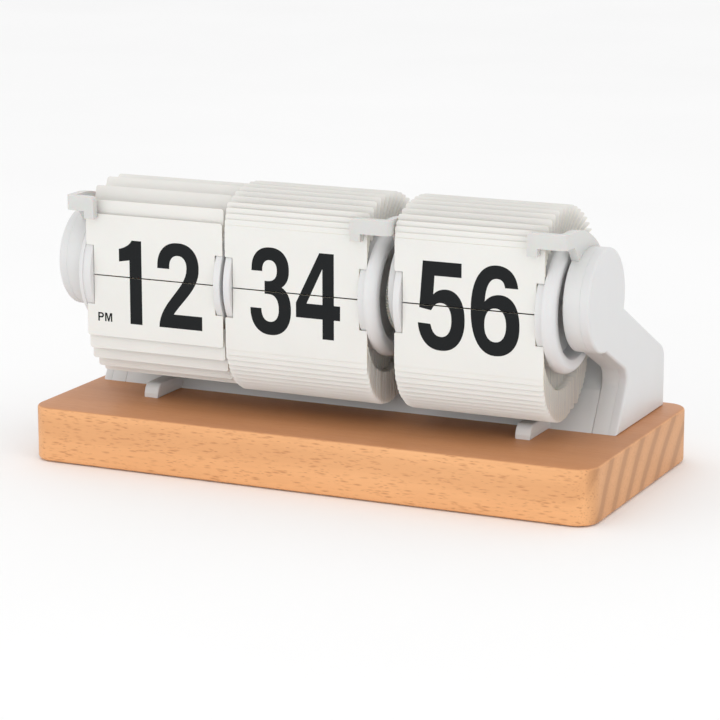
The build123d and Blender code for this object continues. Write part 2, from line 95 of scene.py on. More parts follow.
def rounded_outline(corners, radii, steps=12):
    """Closed outline through the corners, each turned by an arc of its own radius.

    The arc touches both sides at radius / tan(half the corner's angle) from the corner.
    """
    corners = np.asarray(corners, float)
    points = []
    for here, before, after, radius in zip(corners, np.roll(corners, 1, 0), np.roll(corners, -1, 0), radii):
        if radius == 0:
            points.append(here[None])
            continue
        arm_in = (before - here) / np.linalg.norm(before - here)
        arm_out = (after - here) / np.linalg.norm(after - here)
        half = math.acos(np.clip(arm_in @ arm_out, -1, 1)) / 2
        middle = here + (arm_in + arm_out) / np.linalg.norm(arm_in + arm_out) * radius / math.sin(half)
        first = here + arm_in * radius / math.tan(half) - middle
        last = here + arm_out * radius / math.tan(half) - middle
        start = math.atan2(first[1], first[0])
        sweep = (math.atan2(last[1], last[0]) - start + math.pi) % (2 * math.pi) - math.pi
        turn = start + np.linspace(0, sweep, steps)
        points.append(middle + radius * np.stack([np.cos(turn), np.sin(turn)], 1))
    return np.concatenate(points)


def inset(outline, distance):
    """The outline moved inwards by distance, each point along the bisector of its two sides."""
    along = np.roll(outline, -1, 0) - outline
    along /= np.linalg.norm(along, axis=1)[:, None]
    inward = np.stack([-along[:, 1], along[:, 0]], 1)
    before = np.roll(inward, 1, 0)
    lean = (inward + before) / (1 + (inward * before).sum(1))[:, None]
    return outline + distance * lean


def new_piece(name, points, faces, finish, body, slot, smooth=True):
    """Mesh from points in millimetres and faces, with its finish, riding on a body."""
    mesh = bpy.data.meshes.new(name)
    mesh.from_pydata((np.asarray(points) * MM).tolist(), [], faces)
    mesh.update()
    tidy = bmesh.new()
    tidy.from_mesh(mesh)
    bmesh.ops.recalc_face_normals(tidy, faces=tidy.faces)
    tidy.to_mesh(mesh)
    tidy.free()
    piece = bpy.data.objects.new(name, mesh)
    bpy.context.scene.collection.objects.link(piece)
    if smooth:
        mesh.shade_smooth()
        mesh.set_sharp_from_angle(angle=math.radians(40))
    mesh.materials.append(finish)
    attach(piece, body)
    return piece


def ring_faces(rows, columns):
    """Quads of a grid whose columns close on themselves."""
    row, column = np.meshgrid(np.arange(rows - 1), np.arange(columns), indexing="ij")
    beside = (column + 1) % columns
    quads = np.stack([row * columns + column, row * columns + beside,
                      (row + 1) * columns + beside, (row + 1) * columns + column], -1)
    return quads.reshape(-1, 4).tolist()


def plate(outline, low, high, ease_low, ease_high, axis, steps=5):
    """Solid of one outline from low to high along an axis, with both rims eased to a quarter round.

    Ring at angle a of an ease r: inset r (1 - sin a) and r (1 - cos a) from the end face.
    """
    outline = np.asarray(outline, float)
    if (outline[:, 0] * np.roll(outline[:, 1], -1) - np.roll(outline[:, 0], -1) * outline[:, 1]).sum() < 0:
        outline = outline[::-1]
    quarter = np.linspace(0, math.pi / 2, steps)
    depths = [(ease_low * (1 - math.sin(a)), low + ease_low * (1 - math.cos(a))) for a in quarter]
    depths += [(ease_high * (1 - math.sin(a)), high - ease_high * (1 - math.cos(a))) for a in quarter[::-1]]
    rings = []
    for depth, place in depths:
        flat = inset(outline, depth)
        along = np.full(len(flat), place)
        columns = {0: (along, flat[:, 0], flat[:, 1]), 1: (flat[:, 0], along, flat[:, 1]),
                   2: (flat[:, 0], flat[:, 1], along)}[axis]
        rings.append(np.stack(columns, 1))
    size = len(outline)
    faces = ring_faces(len(rings), size)
    faces.append(list(range(size))[::-1])
    faces.append(list(range((len(rings) - 1) * size, len(rings) * size)))
    return np.concatenate(rings), faces


def join(*solids):
    """Several (points, faces) solids as one."""
    points, faces, count = [], [], 0
    for solid_points, solid_faces in solids:
        points.append(solid_points)
        faces += [[index + count for index in face] for face in solid_faces]
        count += len(solid_points)
    return np.concatenate(points), faces


class Finish:
    """A node material being put together: Object coordinates in millimetres, then the shader."""

    def __init__(self, name, colour, roughness, **sockets):
        self.material = bpy.data.materials.new(name)
        self.material.use_nodes = True
        self.tree = self.material.node_tree
        self.shader = self.tree.nodes["Principled BSDF"]
        self.shader.inputs["Base Color"].default_value = (*colour, 1)
        self.shader.inputs["Roughness"].default_value = roughness
        for socket, value in sockets.items():
            self.shader.inputs[socket.replace("_", " ")].default_value = value
        self.place = self.add("ShaderNodeTexCoord").outputs["Object"]

    def add(self, kind, **settings):
        """New node of a kind, with its settings or named inputs filled in."""
        node = self.tree.nodes.new(kind)
        for key, value in settings.items():
            if hasattr(node, key):
                setattr(node, key, value)
            else:
                self.plug(value, node.inputs[key.replace("_", " ")])
        return node

    def plug(self, value, socket):
        """Link an output to a socket, or set the socket's own value."""
        if isinstance(value, bpy.types.NodeSocket):
            self.tree.links.new(value, socket)
        else:
            socket.default_value = value

    def spread(self, scale, turn=(0, 0, 0), place=None, shift=(0, 0, 0)):
        """Object coordinates stretched by a scale per axis, per metre, and turned."""
        node = self.add("ShaderNodeMapping", Scale=scale, Rotation=turn, Location=shift)
        self.plug(place or self.place, node.inputs["Vector"])
        return node.outputs[0]

    def noise(self, place, scale=1.0, detail=3.0, rough=0.5):
        """Fractal noise, about 0 to 1."""
        node = self.add("ShaderNodeTexNoise", Scale=scale, Detail=detail, Roughness=rough)
        self.plug(place, node.inputs["Vector"])
        return node.outputs["Fac"]

    def ramp(self, fac, *stops):
        """Colour ramp with (position, grey or colour) stops."""
        node = self.add("ShaderNodeValToRGB")
        while len(node.color_ramp.elements) < len(stops):
            node.color_ramp.elements.new(0.5)
        for element, (position, value) in zip(node.color_ramp.elements, stops):
            element.position = position
            element.color = (*(value if hasattr(value, "__len__") else (value,) * 3), 1)
        self.plug(fac, node.inputs["Fac"])
        return node.outputs["Color"]

    def maths(self, operation, a, b=0.0):
        """One arithmetic step on two values."""
        node = self.add("ShaderNodeMath", operation=operation)
        self.plug(a, node.inputs[0])
        self.plug(b, node.inputs[1])
        return node.outputs[0]

    def mix(self, fac, a, b):
        """Blend of two colours; the colour sockets are 6 and 7, and output 2 is the colour."""
        node = self.add("ShaderNodeMix", data_type="RGBA")
        self.plug(fac, node.inputs["Factor"])
        self.plug(a, node.inputs[6])
        self.plug(b, node.inputs[7])
        return node.outputs[2]

    def colour(self, value):
        """Base colour from an output."""
        self.plug(value, self.shader.inputs["Base Color"])

    def bump(self, height, depth, strength=1.0):
        """Relief from a height, depth in millimetres for a full step of it."""
        node = self.add("ShaderNodeBump", Strength=strength, Distance=depth * MM)
        self.plug(height, node.inputs["Height"])
        self.plug(node.outputs["Normal"], self.shader.inputs["Normal"])


def beech():
    """Oiled beech: rings about a pith far below, fibres, and rays as short flecks of two sizes.

    The planed top is coloured darker than the front as painted shade; the end grain is darker, partly its
    own colour and partly painted shade.
    """
    wood = Finish("oiled_beech", (0.66, 0.36, 0.17), 0.42, Coat_Weight=0.04, Coat_Roughness=0.45,
                  Specular_IOR_Level=0.3)
    bent = wood.noise(wood.spread((6, 14, 14)), 1.0, 2.0)
    rings = wood.add("ShaderNodeTexWave", wave_type="RINGS", rings_direction="X", Scale=19.0,
                     Distortion=1.1, Detail=2.0, Detail_Scale=1.4)
    wood.plug(wood.spread((0.35, 1, 1), shift=(0, -0.215, 0.165)), rings.inputs["Vector"])
    ring_tone = wood.ramp(rings.outputs["Fac"], (0.0, 0.0), (0.62, 0.25), (0.92, 1.0))
    fibre = wood.noise(wood.spread((28, 900, 900)), 1.0, 4.0, 0.6)
    cloud = wood.noise(wood.spread((9, 40, 40)), 1.0, 3.0)
    flecks = 0.0
    for scale, turn, width, gate in (
        ((150, 900, 780), 0.07, 0.44, 0.42), ((240, 1500, 1250), 0.10, 0.36, 0.46),
    ):
        field = wood.add("ShaderNodeTexVoronoi", feature="F1", Scale=1.0, Randomness=1.0)
        wood.plug(wood.spread(scale, turn=(0, turn, 0)), field.inputs["Vector"])
        fleck = wood.ramp(field.outputs["Distance"], (0.12, 1.0), (width, 0.0))
        spare = wood.noise(wood.spread(tuple(0.5 * length for length in scale)), 1.0, 2.0)
        fleck = wood.maths("MULTIPLY", fleck, wood.ramp(spare, (gate, 0.0), (gate + 0.12, 1.0)))
        flecks = wood.maths("MAXIMUM", flecks, fleck)
    tone = wood.ramp(cloud, (0.25, (0.78, 0.385, 0.165)), (0.75, (0.87, 0.455, 0.205)))
    tone = wood.mix(wood.maths("MULTIPLY", ring_tone, 0.36), tone, (0.58, 0.265, 0.108, 1))
    tone = wood.mix(wood.maths("MULTIPLY", wood.ramp(fibre, (0.35, 0.0), (0.7, 1.0)), 0.22), tone,
                    (0.64, 0.31, 0.135, 1))
    tone = wood.mix(wood.maths("MULTIPLY", flecks, 0.66), tone, (0.44, 0.175, 0.062, 1))
    facing = wood.add("ShaderNodeSeparateXYZ")
    wood.plug(wood.add("ShaderNodeNewGeometry").outputs["Normal"], facing.inputs[0])
    # Painted shade: faces turned up are coloured darker, standing in for the shade and dark reflections that
    # fall on the top.
    painted_top_shade = wood.ramp(facing.outputs["Z"], (0.55, 0.0), (0.95, 1.0))
    tone = wood.mix(wood.maths("MULTIPLY", painted_top_shade, 0.78), tone,
                    (0.47, 0.185, 0.074, 1))
    # The ends are darker, partly the end grain's own colour and partly painted shade; the rings on the ends
    # are the wood's own pattern.
    end_grain_and_shade = wood.ramp(wood.maths("ABSOLUTE", facing.outputs["X"]), (0.6, 0.0), (0.95, 1.0))
    tone = wood.mix(wood.maths("MULTIPLY", end_grain_and_shade, 0.50), tone, (0.50, 0.25, 0.12, 1))
    tone = wood.mix(wood.maths("MULTIPLY", wood.maths("MULTIPLY", end_grain_and_shade, ring_tone), 0.62), tone,
                    (0.36, 0.165, 0.07, 1))
    wood.colour(wood.mix(wood.maths("MULTIPLY", bent, 0.12), tone, (0.93, 0.56, 0.29, 1)))
    wood.plug(wood.ramp(fibre, (0.2, 0.38), (0.8, 0.52)), wood.shader.inputs["Roughness"])
    wood.bump(wood.maths("SUBTRACT", fibre, flecks), 0.05, 0.5)
    return wood.material


base_low, base_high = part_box("wood_base")
base_corner = 11.0
base_sides = np.array([[base_low.x, base_low.y], [base_high.x, base_low.y],
                       [base_high.x, base_high.y], [base_low.x, base_high.y]]) / MM
base_ease_low, base_ease_high = 1.6, 1.3
base_solid = plate(rounded_outline(base_sides, [base_corner] * 4, 16), base_low.z / MM, base_high.z / MM,
                   base_ease_low, base_ease_high, axis=2)
beech_finish = beech()
base = new_piece("beech_base", *base_solid, beech_finish, "clock_body", "beech")
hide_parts("wood_base")

# ---- Feet and hidden fixings -------------------------------------------------------------
# Four soft pads sit in shallow sinkings under the base, and four zinc-plated screws come
# up through the plank into the housing's bosses.


def pebbled(name, colour, roughness, grain, depth, tint=0.04, **sockets):
    """Moulded or rubbery stuff: a fine pebble relief of a grain in millimetres, slightly uneven colour."""
    stuff = Finish(name, colour, roughness, **sockets)
    scale = 1 / (grain * MM)
    pebbles = stuff.noise(stuff.spread((scale,) * 3), 1.0, 2.0)
    cloud = stuff.noise(stuff.spread((28,) * 3), 1.0, 3.0)
    light = tuple(min(1.0, c * (1 + tint)) for c in colour)
    dark = tuple(c * (1 - tint) for c in colour)
    stuff.colour(stuff.ramp(cloud, (0.3, dark), (0.7, light)))
    stuff.plug(stuff.ramp(pebbles, (0.3, roughness * 0.9), (0.7, min(1, roughness * 1.1))),
               stuff.shader.inputs["Roughness"])
    stuff.bump(pebbles, depth)
    return stuff.material


def drawn_metal(name, colour, roughness, lines, turn=(0, 0, 0)):
    """Metal with fine draw lines along X: noise stretched a hundredfold one way."""
    metal = Finish(name, colour, roughness, Metallic=1.0)
    streak = metal.noise(metal.spread((lines / 60, lines, lines), turn), 1.0, 4.0, 0.65)
    metal.colour(metal.ramp(streak, (0.3, tuple(c * 0.82 for c in colour)), (0.7, colour)))
    polish = metal.ramp(streak, (0.3, roughness * 0.8), (0.7, roughness * 1.3))
    metal.plug(polish, metal.shader.inputs["Roughness"])
    metal.bump(streak, 0.01, 0.6)
    return metal.material


def dress(finish, *nodes):
    """Give carried-over pieces their finish in every material slot."""
    for node in nodes:
        piece = frame["nodes"][node]
        piece.data.materials.clear()
        piece.data.materials.append(finish)


dress(pebbled("soft_pad_rubber", (0.03, 0.03, 0.032), 0.75, 0.5, 0.02, 0.1), "rubber_feet")
dress(drawn_metal("zinc_plate", (0.62, 0.64, 0.66), 0.32, 1500), "base_screws")

# ---- Housing -----------------------------------------------------------------------------
# White satin plastic: a hollow body scooped out behind the drums, an arm at each end with
# a round head, and a thin arm between minutes and seconds. It is screwed down on the wood.

axis_y, axis_z = -22.0, 93.5
trough_radius = 55.0
head_y, head_z, head_radius = -21.9, 97.8, 25.2
wood_top = base_high.z / MM
back_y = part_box("housing")[1].y / MM
housing_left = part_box("left_side_cover")[0].x / MM
housing_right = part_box("right_side_cover")[1].x / MM
cover_thickness = 4.8
head_width = 13.3
left_face, right_face = housing_left + head_width, housing_right - head_width
left_seam, right_seam = housing_left + cover_thickness, housing_right - cover_thickness
foot_y = -4.5
throat, throat_round = (12.1, 55.7), 8.0
back_top, back_round = 57.9, 9.0
neck = (1.8, 89.9)
head_steps = 90

white_housing = pebbled("white_satin_plastic", (0.68, 0.68, 0.675), 0.42, 0.28, 0.006, 0.012,
                        Subsurface_Weight=0.05, Subsurface_Scale=0.002)


def limb_outline():
    """Side view of an arm: most of a circle for the head, then the back slope, foot and throat."""
    reach = math.atan2(neck[1] - head_z, neck[0] - head_y)
    turn = np.linspace(-math.pi / 2, reach - 2 * math.pi, head_steps)
    head = np.stack([head_y + head_radius * np.cos(turn), head_z + head_radius * np.sin(turn)], 1)
    limb = rounded_outline([tuple(head[-1]), (back_y, back_top), (back_y, wood_top), (foot_y, wood_top),
                            throat, tuple(head[0])], [0, back_round, 0, 0, throat_round, 0])
    return np.concatenate([head, limb[1:-1]])


def trough_ends():
    """Where the trough's circle meets the slanted front and the back slope.

    The distance run along a line from its start is -h -+ sqrt(h^2 - d^2 + r^2), h being the start's
    offset from the axle along the line and d its distance from it.
    """
    ends = []
    for start, goal in (((foot_y, wood_top), throat), (neck, (back_y, back_top))):
        way = np.subtract(goal, start) / np.linalg.norm(np.subtract(goal, start))
        offset = np.array(start) - (axis_y, axis_z)
        half = offset @ way
        depth = math.sqrt(half * half - offset @ offset + trough_radius**2)
        run = -half - depth if np.linalg.norm(offset) > trough_radius else -half + depth
        ends.append((np.array(start) + way * run, way))
    return ends


def body_outline(bay=()):
    """Side view of the body: trough arc about the axle, back slope, back wall with its bay, and front."""
    low, high = (math.atan2(end[1] - axis_z, end[0] - axis_y) for end, _ in trough_ends())
    turn = np.linspace(low, high, 40)
    trough = np.stack([axis_y + trough_radius * np.cos(turn), axis_z + trough_radius * np.sin(turn)], 1)
    wall = [(back_y, back_top), *bay, (back_y, wood_top), (foot_y, wood_top)]
    rest = rounded_outline([tuple(trough[-1]), *wall], [0, back_round] + [0] * (len(wall) - 1))
    return np.concatenate([trough, rest[1:]])


def bearing_outline():
    """Side view of the thin arm: the limb down to the trough, its root inside the body."""
    (front, front_way), (rear, rear_way) = trough_ends()
    sunk = 0.5
    root = [rear + sunk * rear_way, (38.0, 45.0), (10.0, 34.0), front - sunk * front_way]
    head = limb[:head_steps]
    stem = rounded_outline([head[-1], *root, throat, head[0]], [0] * 5 + [throat_round, 0])
    return np.concatenate([head, stem[1:-1]])


limb = limb_outline()
seam_ease = 0.14
bay_left, bay_right = (corner.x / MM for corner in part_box("battery_contacts"))
bay_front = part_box("battery_tray")[0].y / MM
bay_low, bay_high = 31.0, 50.0
slack = 0.1
joint_ease, arm_ease, bearing_ease = 0.05, 0.8, 0.6
bay_edge = [(back_y, bay_high + slack), (bay_front, bay_high + slack), (bay_front, bay_low - slack),
            (back_y, bay_low - slack)]
body = join(*(plate(outline, low, high, joint_ease, joint_ease, axis=0, steps=2) for outline, low, high in (
    (body_outline(), left_face, bay_left - slack),
    (body_outline(bay_edge), bay_left - slack, bay_right + slack),
    (body_outline(), bay_right + slack, right_face),
)))
left_arm = plate(limb, left_seam, left_face, seam_ease, arm_ease, axis=0)
right_arm = plate(limb, right_face, right_seam, arm_ease, seam_ease, axis=0)
housing = new_piece("housing_shell", *join(body, left_arm, right_arm), white_housing, "clock_body",
                    "white_housing")
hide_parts("housing")

middle_left, middle_right = (corner.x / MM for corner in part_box("middle_arm"))
bearing = plate(bearing_outline(), middle_left, middle_right, bearing_ease, bearing_ease, axis=0)
middle = new_piece("middle_arm_plate", *bearing, white_housing, "clock_body", "white_housing")
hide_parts("middle_arm")

# ---- Side covers -------------------------------------------------------------------------
# A moulded skin snaps on each arm and leaves a hair seam round it. Inside each head a
# socket carries the end of the axle.
cover_ease = 1.4
white_cover = pebbled("white_cover_plastic", (0.68, 0.68, 0.68), 0.40, 0.28, 0.006, 0.012,
                      Subsurface_Weight=0.05, Subsurface_Scale=0.002)
for name, low, high, ease_low, ease_high in (
    ("left_side_cover", housing_left, left_seam, cover_ease, seam_ease),
    ("right_side_cover", right_seam, housing_right, seam_ease, cover_ease),
):
    cover = new_piece(name + "_skin", *plate(limb, low, high, ease_low, ease_high, axis=0, steps=8),
                      white_cover, "clock_body", "white_cover")
    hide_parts(name)

# ---- Front lugs --------------------------------------------------------------------------
# Two small round-nosed props run forward from the body along the wood and stop it tipping.
lug_low, lug_high = (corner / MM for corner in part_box("front_lugs"))
lug_width = 8.0
lug_top = wood_top + 7.2
lug_back, lug_ease = 4.0, 0.7
lug_outline = rounded_outline([(lug_low.y, wood_top), (lug_back, wood_top), (lug_back, lug_top),
                               (lug_low.y + 2.0, lug_top), (lug_low.y, wood_top + 2.4)],
                              [0.3, 0, 0, 4.5, 1.2])
lugs = join(*(plate(lug_outline, x, x + lug_width, lug_ease, lug_ease, axis=0)
              for x in (lug_low.x, lug_high.x - lug_width)))
front_lugs = new_piece("front_lug_pair", *lugs, white_housing, "clock_body", "white_housing")
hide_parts("front_lugs")

# ---- Hooks -------------------------------------------------------------------------------
# Milky half-clear plastic. A fin stands on each head, a bar reaches over the drum's end and
# a small lip holds back the top edge of the front flap until its turn comes.
milky = pebbled("milky_plastic", (0.63, 0.63, 0.61), 0.36, 0.3, 0.004, 0.012,
                Subsurface_Weight=0.25, Subsurface_Scale=0.002)


def eased_copy(node, name, finish, ease):
    """A copy of a carried-over piece with its points merged, flats dissolved and edges eased."""
    mesh = frame["nodes"][node].data.copy()
    mesh.name = name
    solid = bmesh.new()
    solid.from_mesh(mesh)
    bmesh.ops.remove_doubles(solid, verts=solid.verts, dist=1e-6)
    bmesh.ops.dissolve_limit(solid, angle_limit=math.radians(1.5), verts=solid.verts, edges=solid.edges)
    solid.to_mesh(mesh)
    solid.free()
    piece = bpy.data.objects.new(name, mesh)
    bpy.context.scene.collection.objects.link(piece)
    mesh.materials.clear()
    mesh.materials.append(finish)
    mesh.shade_smooth()
    rounding = piece.modifiers.new("eased_edges", "BEVEL")
    rounding.width = ease * MM
    rounding.segments = 5
    rounding.limit_method = "ANGLE"
    rounding.angle_limit = math.radians(35)
    rounding.harden_normals = True
    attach(piece, frame["nodes"][node]["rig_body"])
    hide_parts(node)
    return piece


for unit in ("hour", "minute", "second"):
    eased_copy(unit + "_hook", unit + "_flap_hook", milky, 0.95)
dress(white_housing, "battery_tray")

# ---- Drum ends and hand wheels -----------------------------------------------------------
# White plastic discs turned by the drive. Each shows through the flaps' side notches, and
# the outer ones swell into a smooth rim that a finger can turn to set the time.
white_drum = pebbled("white_drum_plastic", (0.70, 0.70, 0.70), 0.34, 0.3, 0.004, 0.012,
                     Subsurface_Weight=0.05, Subsurface_Scale=0.002)
hub_radius = 30.2
wheel_fall = 3.0
wheel_bore = 24.8
hub_bore = {"hour": 4.5, "minute": 2.8, "second": 2.8}


def lathe(profile, sides=160):
    """Ring turned about the axle: each profile point (x, r) goes to y + r cos a, z + r sin a."""
    profile = np.asarray(profile, float)
    turn = np.linspace(0, 2 * math.pi, sides, endpoint=False)
    x = np.repeat(profile[:, :1], sides, 1)
    y = axis_y + profile[:, 1:] * np.cos(turn)
    z = axis_z + profile[:, 1:] * np.sin(turn)
    points = np.stack([x, y, z], -1).reshape(-1, 3)
    faces = ring_faces(len(profile), sides)
    last = (len(profile) - 1) * sides
    column = np.arange(sides)
    beside = (column + 1) % sides
    faces += np.stack([last + column, last + beside, beside, column], 1).tolist()
    return points, faces


def rim_profile(inner, outer, neck, crest, bore):
    """Drum end with a hand wheel: a land inside the notch, a step up beside the flaps, then a dome.

    The dome is an arc through three heights: crest - 0.05 f at its start, crest - 0.19 f at
    0.6 of its width and crest - f at its end, f being wheel_fall; r = centre + sqrt(R^2 - (x - x0)^2).
    """
    side = 1 if outer > inner else -1
    width = abs(outer - neck)
    reach = np.array([0.0, 0.6 * width, width])
    height = crest - wheel_fall * np.array([0.05, 0.19, 1.0])
    lhs = 2 * np.stack([np.diff(reach), np.diff(height)], 1)
    rhs = np.diff(reach**2 + height**2)
    x0, r0 = np.linalg.solve(lhs, rhs)
    radius = math.hypot(reach[0] - x0, height[0] - r0)
    low, high = (math.atan2(height[i] - r0, reach[i] - x0) for i in (0, 2))
    turn = np.linspace(low, high, 26)
    dome = np.stack([neck + side * (x0 + radius * np.cos(turn)), r0 + radius * np.sin(turn)], 1)
    land = [(inner, bore), (inner, hub_radius - 0.4), (inner + side * 0.15, hub_radius - 0.12),
            (inner + side * 0.4, hub_radius), (neck, hub_radius + 0.02)]
    dish = [(outer, wheel_bore + 0.6), (outer - side * 0.4, wheel_bore + 0.1),
            (outer - side * 2.6, wheel_bore - 1.0), (inner + side * 2.8, wheel_bore - 2.5),
            (inner + side * 2.8, bore)]
    return np.concatenate([land, dome, dish])


wheel_neck = 4.25
land_ease = 0.35
for unit in ("hour", "minute", "second"):
    for end, side in (("left", -1), ("right", 1)):
        node = f"{unit}_{end}_hub"
        low, high = (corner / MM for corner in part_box(node))
        inner, outer = (high.x, low.x) if side < 0 else (low.x, high.x)
        if abs(outer - inner) > 5:
            crest = (high.z - low.z) / 2
            profile = rim_profile(inner, outer, inner + side * wheel_neck, crest, hub_bore[unit])
        else:
            profile = [(inner, hub_bore[unit]), (inner, hub_radius - land_ease),
                       (inner + side * land_ease, hub_radius), (outer - side * land_ease, hub_radius),
                       (outer, hub_radius - land_ease), (outer, hub_bore[unit])]
        hub = new_piece(node + "_disc", *lathe(profile), white_drum, unit + "_drum", "white_drum")
        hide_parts(node)
dress(white_drum, "hour_tube", "minute_tube", "second_tube")

# ---- Drive -------------------------------------------------------------------------------
# A ground steel axle, natural nylon gears on steel studs, and a small plated motor in the
# right head. All of it is out of sight once the covers are on.
dress(drawn_metal("ground_steel", (0.60, 0.60, 0.61), 0.25, 2500), "axle", "gear_studs", "motor_shaft")
dress(drawn_metal("plated_can", (0.58, 0.59, 0.60), 0.35, 900), "motor")
dress(pebbled("natural_nylon", (0.78, 0.76, 0.68), 0.45, 0.3, 0.01, 0.03, Subsurface_Weight=0.2,
              Subsurface_Scale=0.002),
      "hour_gear", "minute_gear", "second_drive_gear", "second_carry_pinion", "minute_carry_pinion",
      "minute_carry_gear", "hour_carry_gear", "motor_pinion")

# ---- Battery bay and circuit board -------------------------------------------------------
# Two cells lie end to end in a tray behind a hinged door in the housing's back, between
# sprung nickel-plated contacts. A small green board carries the motor's driver beside it.
dress(drawn_metal("nickel_plate", (0.70, 0.68, 0.63), 0.28, 1200), "battery_contacts", "battery_spring")
board = Finish("green_board", (0.02, 0.16, 0.07), 0.35, Coat_Weight=0.5)
tracks = board.add("ShaderNodeTexBrick", Scale=1.0, Mortar_Size=0.02, Brick_Width=0.5, Row_Height=0.25,
                   Color1=(0.02, 0.17, 0.07, 1), Color2=(0.02, 0.13, 0.06, 1), Mortar=(0.05, 0.30, 0.14, 1))
board.plug(board.spread((220, 220, 220), turn=(math.pi / 2, 0, 0)), tracks.inputs["Vector"])
board.colour(tracks.outputs["Color"])
dress(board.material, "circuit_board")

door_low, door_high = (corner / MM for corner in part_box("battery_door"))
door_end = 1.9
door_outline = rounded_outline([(door_low.x + door_end, door_low.z), (door_high.x - door_end, door_low.z),
                                (door_high.x - door_end, door_high.z), (door_low.x + door_end, door_high.z)],
                               [0.4, 0.4, 0.8, 0.8], 6)
rib_low, rib_high, rib_width, rib_pitch = 45.5, 49.0, 1.4, 2.6
ribs = []
for x in np.arange(-10.7, 8.0, rib_pitch):
    rib = rounded_outline([(x, rib_low), (x + rib_width, rib_low), (x + rib_width, rib_high), (x, rib_high)],
                          [0.6] * 4, 6)
    ribs.append(plate(rib, door_high.y - 0.5, door_high.y + 0.35, 0.1, 0.3, axis=1))
leaf = plate(door_outline, door_low.y, door_high.y, 0.3, 0.35, axis=1)
door = new_piece("battery_door_leaf", *join(leaf, *ribs), white_cover, "battery_cover", "white_housing")
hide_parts("battery_door")

# ---- Flaps -------------------------------------------------------------------------------
# Thin off-white plastic sheet, die-cut with a notch on each side. The cut edge is creamier than the face
# and is also painted brighter, as painted light. They hang on tabs round the drum and lie on one another.
flap_width, notch_width = 76.3, 4.2
flap_reach, notch_reach = 31.0, 15.0
flap_thickness = 0.2
line_gap = 0.6
pin_circle = 27.0
free_turn, rear_lean = 25.9, 10.8
last_drag, drag_blend = 250.0, 13.0
drums = (("hour", 24, 0.0, -128.0), ("minute", 60, -0.5, -50.2), ("second", 60, 1.0, 40.5))

flap_face = Finish("flap_sheet_face", (0.765, 0.75, 0.715), 0.5, Subsurface_Weight=0.05,
                   Subsurface_Scale=0.001)
sheen = flap_face.noise(flap_face.spread((45, 45, 45)), 1.0, 2.0)
tooth = flap_face.noise(flap_face.spread((2600, 2600, 2600)), 1.0, 2.0)
flap_face.colour(flap_face.ramp(sheen, (0.3, (0.765, 0.752, 0.72)), (0.7, (0.785, 0.772, 0.74))))
flap_face.plug(flap_face.ramp(tooth, (0.3, 0.42), (0.7, 0.52)), flap_face.shader.inputs["Roughness"])
flap_face.bump(tooth, 0.004)
# Cut edge colour: a cream tint of its own, made brighter than the face as painted light against the shade
# between the stacked flaps.
cream_flap_edge_and_painted_light = pebbled("flap_sheet_cut_edge", (1.0, 0.89, 0.70), 0.6, 0.2, 0.01, 0.03)


def flap_places(turn):
    """Pin, direction along the flap and its outward normal for pins turned past the front, in degrees.

    The pin is on the pin circle at turn; the flap leans back by turn less the free part, is
    carried at a steady angle behind the drum, and hangs straight down below it.
    """
    drag = rear_lean * np.clip((last_drag - turn) / drag_blend, 0, 1)
    lean = np.radians(np.minimum(np.maximum(turn - free_turn, 0), 180 - drag))
    turn = np.radians(turn)
    none = np.zeros_like(turn)
    pin = np.stack([none, axis_y - pin_circle * np.cos(turn), axis_z + pin_circle * np.sin(turn)], 1)
    along = np.stack([none, np.sin(lean), np.cos(lean)], 1)
    normal = np.stack([none, -np.cos(lean), np.sin(lean)], 1)
    return pin, along, normal


def flap_outline(left, count):
    """Front view of a flap as (x, distance from the pin): a notched sheet with small round corners."""
    half_step = pin_circle * math.sin(math.pi / count)
    tip, notch, tail = flap_reach - half_step, notch_reach - half_step, half_step - line_gap / 2
    right = left + flap_width
    corners = [(left + notch_width, -tail), (right - notch_width, -tail), (right - notch_width, notch),
               (right, notch), (right, tip), (left, tip), (left, notch), (left + notch_width, notch)]
    return rounded_outline(corners, [0.3, 0.3, 0.3, 0.5, 1.3, 1.3, 0.5, 0.3], 5)


def flap_solids(left, count, turns, loose, seed):
    """Sheets for all the given pins at once: outline times two faces, placed pin by pin.

    Point = pin + x across + distance along + half a thickness out. Loose flaps are shifted
    by up to a quarter of a millimetre and turned by about an eighth of a degree in their plane.
    """
    outline = flap_outline(left, count)
    size = len(outline)
    chance = np.random.default_rng(seed)
    pin, along, normal = flap_places(np.asarray(turns, float))
    slide = np.clip(chance.normal(0, 0.13, len(pin)), -0.25, 0.25) * loose
    tilt = chance.normal(0, 0.0022, len(pin)) * loose
    middle = left + flap_width / 2
    across = outline[None, :, 0] + slide[:, None] - tilt[:, None] * outline[None, :, 1]
    down = outline[None, :, 1] + tilt[:, None] * (outline[None, :, 0] - middle)
    sheet = pin[:, None] + down[..., None] * along[:, None]
    sheet[..., 0] += across
    half = normal[:, None] * flap_thickness / 2
    points = np.concatenate([sheet + half, sheet - half], 1).reshape(-1, 3)
    column = np.arange(size)
    beside = (column + 1) % size
    walls = np.stack([column, beside, beside + size, column + size], 1)
    faces, rims = [], []
    for number in range(len(pin)):
        start = number * 2 * size
        faces += [(column + start).tolist(), (column[::-1] + start + size).tolist()]
        faces += (walls + start).tolist()
        rims += [0, 0] + [1] * size
    return points, faces, rims


def save_flaps(name, left, count, phase, first, last, body, loose, seed):
    """Build flaps first to last of a drum as one piece with faces and cut edges."""
    turns = phase + (np.arange(first, last + 1) + 0.5) * 360 / count
    points, faces, rims = flap_solids(left, count, turns, loose, seed)
    flaps = new_piece(name + "_sheet", points, faces, flap_face.material, body, "flap_sheet", smooth=False)
    flaps.data.materials.append(cream_flap_edge_and_painted_light)
    flaps.data.polygons.foreach_set("material_index", rims)
    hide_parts(name)


